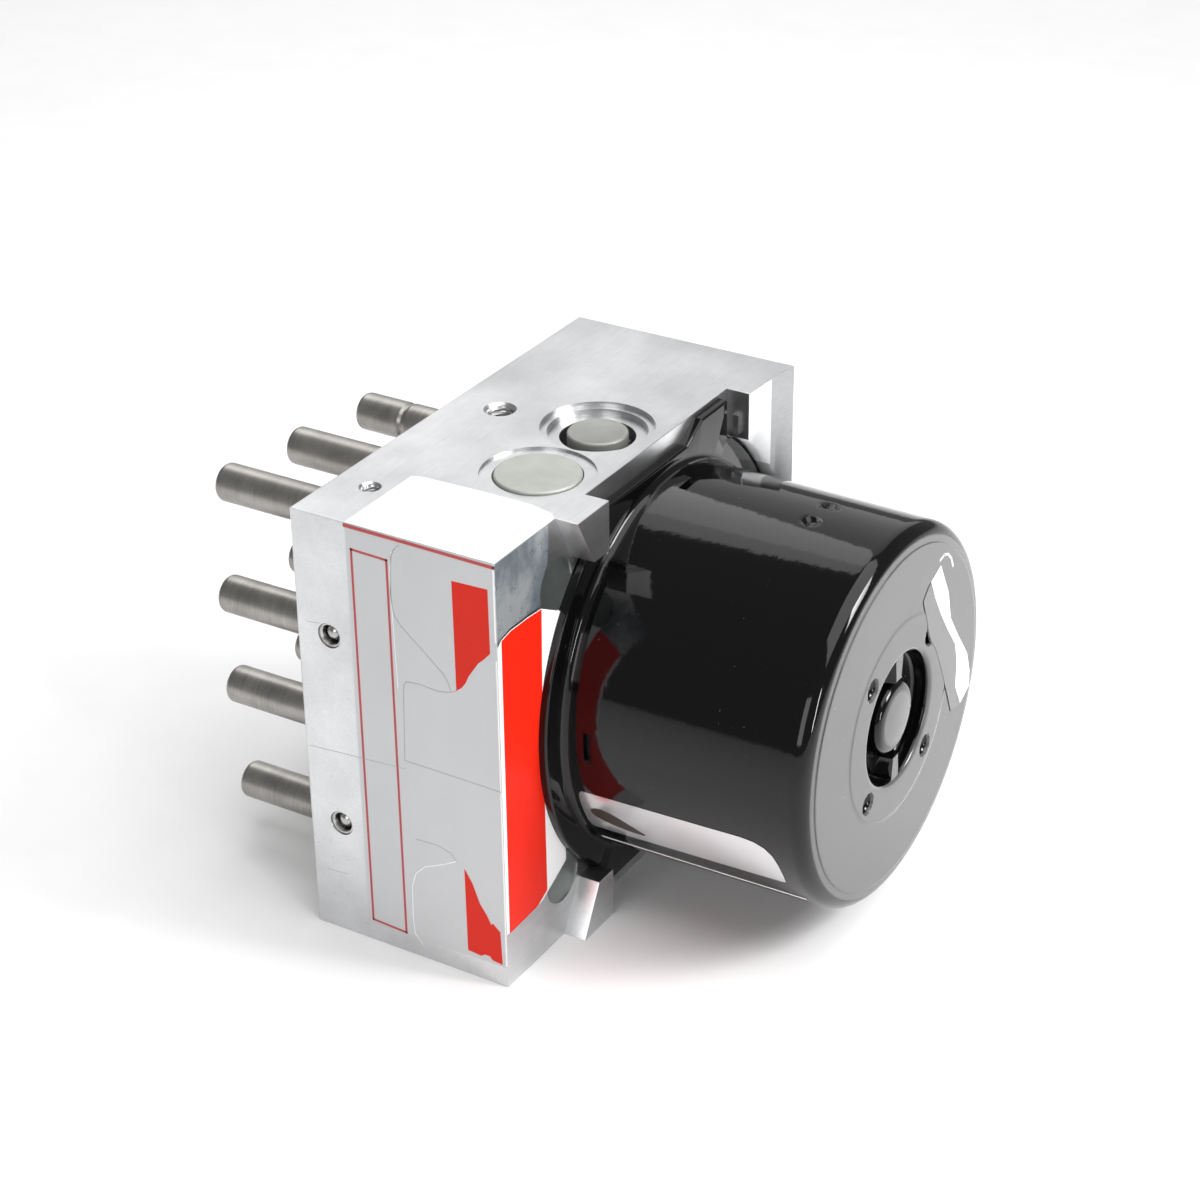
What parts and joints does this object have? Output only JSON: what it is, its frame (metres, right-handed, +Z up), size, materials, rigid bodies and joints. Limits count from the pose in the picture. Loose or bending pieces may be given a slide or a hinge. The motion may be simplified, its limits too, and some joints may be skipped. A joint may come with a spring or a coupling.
{
  "type": "abs brake module",
  "caption": "Drilled aluminium valve block with rows of round-ended steel valve tubes on one face and a flanged black pump motor on the other.",
  "frame": {"origin": "middle of the base, under the centre of the overall box", "axes": "+X along the motor axis from the valves to the motor, +Y to the ported narrow face, +Z up the block to the pump plug"},
  "size_m": [0.13, 0.1014, 0.092],
  "materials": {
    "block": "machined satin",
    "can": "gloss black",
    "stainless": "brushed",
    "plug_steel": "matt plated",
    "bearing_steel": "ground",
    "core_iron": "matt",
    "copper": "satin",
    "magnet": "matt",
    "moulding": "matt",
    "carbon": "matt",
    "spring_wire": "satin",
    "seal": "matt",
    "tinned": "satin"
  },
  "bodies": {
    "housing": {"valve_block": "block", "motor_can": "can", "motor_magnets": "magnet", "rear_bearing": "bearing_steel", "front_bearing": "bearing_steel", "brush_plate": "moulding", "brush_near": "carbon", "brush_far": "carbon", "brush_springs": "spring_wire", "terminal_pins": "tinned", "drilling_plugs": "stainless", "drilling_balls": "bearing_steel", "valve_bodies": "stainless", "valve_springs": "spring_wire", "pump_plug_top": "plug_steel", "pump_sleeve_top": "bearing_steel", "pump_spring_top": "spring_wire", "accumulator_plug_top": "plug_steel", "accumulator_spring_top": "spring_wire", "pump_plug_bottom": "plug_steel", "pump_sleeve_bottom": "bearing_steel", "pump_spring_bottom": "spring_wire", "accumulator_plug_bottom": "plug_steel", "accumulator_spring_bottom": "spring_wire", "valve_sleeve_1": "stainless", "valve_sleeve_2": "stainless", "valve_sleeve_3": "stainless", "valve_sleeve_4": "stainless", "valve_sleeve_5": "stainless", "valve_sleeve_6": "stainless", "valve_sleeve_7": "stainless", "valve_sleeve_8": "stainless", "valve_sleeve_9": "stainless", "valve_sleeve_10": "stainless", "valve_sleeve_11": "stainless", "valve_sleeve_12": "stainless"},
    "rotor": {"motor_shaft": "bearing_steel", "armature_core": "core_iron", "armature_windings": "copper", "commutator": "copper", "eccentric": "bearing_steel", "eccentric_bearing": "bearing_steel"},
    "pump_piston_top": {"pump_piston_top": "bearing_steel"},
    "accumulator_piston_top": {"accumulator_piston_top": "block", "accumulator_o_ring_top": "seal"},
    "pump_piston_bottom": {"pump_piston_bottom": "bearing_steel"},
    "accumulator_piston_bottom": {"accumulator_piston_bottom": "block", "accumulator_o_ring_bottom": "seal"},
    "valve_plunger_1": {"valve_plunger_1": "stainless"},
    "valve_plunger_2": {"valve_plunger_2": "stainless"},
    "valve_plunger_3": {"valve_plunger_3": "stainless"},
    "valve_plunger_4": {"valve_plunger_4": "stainless"},
    "valve_plunger_5": {"valve_plunger_5": "stainless"},
    "valve_plunger_6": {"valve_plunger_6": "stainless"},
    "valve_plunger_7": {"valve_plunger_7": "stainless"},
    "valve_plunger_8": {"valve_plunger_8": "stainless"},
    "valve_plunger_9": {"valve_plunger_9": "stainless"},
    "valve_plunger_10": {"valve_plunger_10": "stainless"},
    "valve_plunger_11": {"valve_plunger_11": "stainless"},
    "valve_plunger_12": {"valve_plunger_12": "stainless"}
  },
  "joints": [
    {"name": "rotor_spin", "type": "hinge", "parent": "housing", "child": "rotor", "pos_m": [0, 0.00675, 0.046], "axis": [1, 0, 0], "continuous": true},
    {"name": "pump_stroke_top", "type": "slide", "parent": "housing", "child": "pump_piston_top", "axis": [0, 0, 1], "range_m": [0, 0.0025], "stiffness_N_per_m": 2000, "springref_m": -0.003, "deforming": ["pump_spring_top"]},
    {"name": "accumulator_stroke_top", "type": "slide", "parent": "housing", "child": "accumulator_piston_top", "axis": [0, 0, 1], "range_m": [0, 0.007], "stiffness_N_per_m": 3000, "springref_m": -0.004, "deforming": ["accumulator_spring_top"]},
    {"name": "pump_stroke_bottom", "type": "slide", "parent": "housing", "child": "pump_piston_bottom", "axis": [0, 0, -1], "range_m": [0, 0.0025], "stiffness_N_per_m": 2000, "springref_m": -0.003, "deforming": ["pump_spring_bottom"]},
    {"name": "accumulator_stroke_bottom", "type": "slide", "parent": "housing", "child": "accumulator_piston_bottom", "axis": [0, 0, -1], "range_m": [0, 0.007], "stiffness_N_per_m": 3000, "springref_m": -0.004, "deforming": ["accumulator_spring_bottom"]},
    {"name": "valve_1_close", "type": "slide", "parent": "housing", "child": "valve_plunger_1", "axis": [1, 0, 0], "range_m": [0, 0.0003], "stiffness_N_per_m": 3000, "springref_m": -0.0005},
    {"name": "valve_2_open", "type": "slide", "parent": "housing", "child": "valve_plunger_2", "axis": [-1, 0, 0], "range_m": [0, 0.0003], "stiffness_N_per_m": 3000, "springref_m": -0.0005},
    {"name": "valve_3_open", "type": "slide", "parent": "housing", "child": "valve_plunger_3", "axis": [-1, 0, 0], "range_m": [0, 0.0003], "stiffness_N_per_m": 3000, "springref_m": -0.0005},
    {"name": "valve_4_close", "type": "slide", "parent": "housing", "child": "valve_plunger_4", "axis": [1, 0, 0], "range_m": [0, 0.0003], "stiffness_N_per_m": 3000, "springref_m": -0.0005},
    {"name": "valve_5_close", "type": "slide", "parent": "housing", "child": "valve_plunger_5", "axis": [1, 0, 0], "range_m": [0, 0.0003], "stiffness_N_per_m": 3000, "springref_m": -0.0005},
    {"name": "valve_6_open", "type": "slide", "parent": "housing", "child": "valve_plunger_6", "axis": [-1, 0, 0], "range_m": [0, 0.0003], "stiffness_N_per_m": 3000, "springref_m": -0.0005},
    {"name": "valve_7_open", "type": "slide", "parent": "housing", "child": "valve_plunger_7", "axis": [-1, 0, 0], "range_m": [0, 0.0003], "stiffness_N_per_m": 3000, "springref_m": -0.0005},
    {"name": "valve_8_close", "type": "slide", "parent": "housing", "child": "valve_plunger_8", "axis": [1, 0, 0], "range_m": [0, 0.0003], "stiffness_N_per_m": 3000, "springref_m": -0.0005},
    {"name": "valve_9_close", "type": "slide", "parent": "housing", "child": "valve_plunger_9", "axis": [1, 0, 0], "range_m": [0, 0.0003], "stiffness_N_per_m": 3000, "springref_m": -0.0005},
    {"name": "valve_10_open", "type": "slide", "parent": "housing", "child": "valve_plunger_10", "axis": [-1, 0, 0], "range_m": [0, 0.0003], "stiffness_N_per_m": 3000, "springref_m": -0.0005},
    {"name": "valve_11_open", "type": "slide", "parent": "housing", "child": "valve_plunger_11", "axis": [-1, 0, 0], "range_m": [0, 0.0003], "stiffness_N_per_m": 3000, "springref_m": -0.0005},
    {"name": "valve_12_close", "type": "slide", "parent": "housing", "child": "valve_plunger_12", "axis": [1, 0, 0], "range_m": [0, 0.0003], "stiffness_N_per_m": 3000, "springref_m": -0.0005}
  ]
}
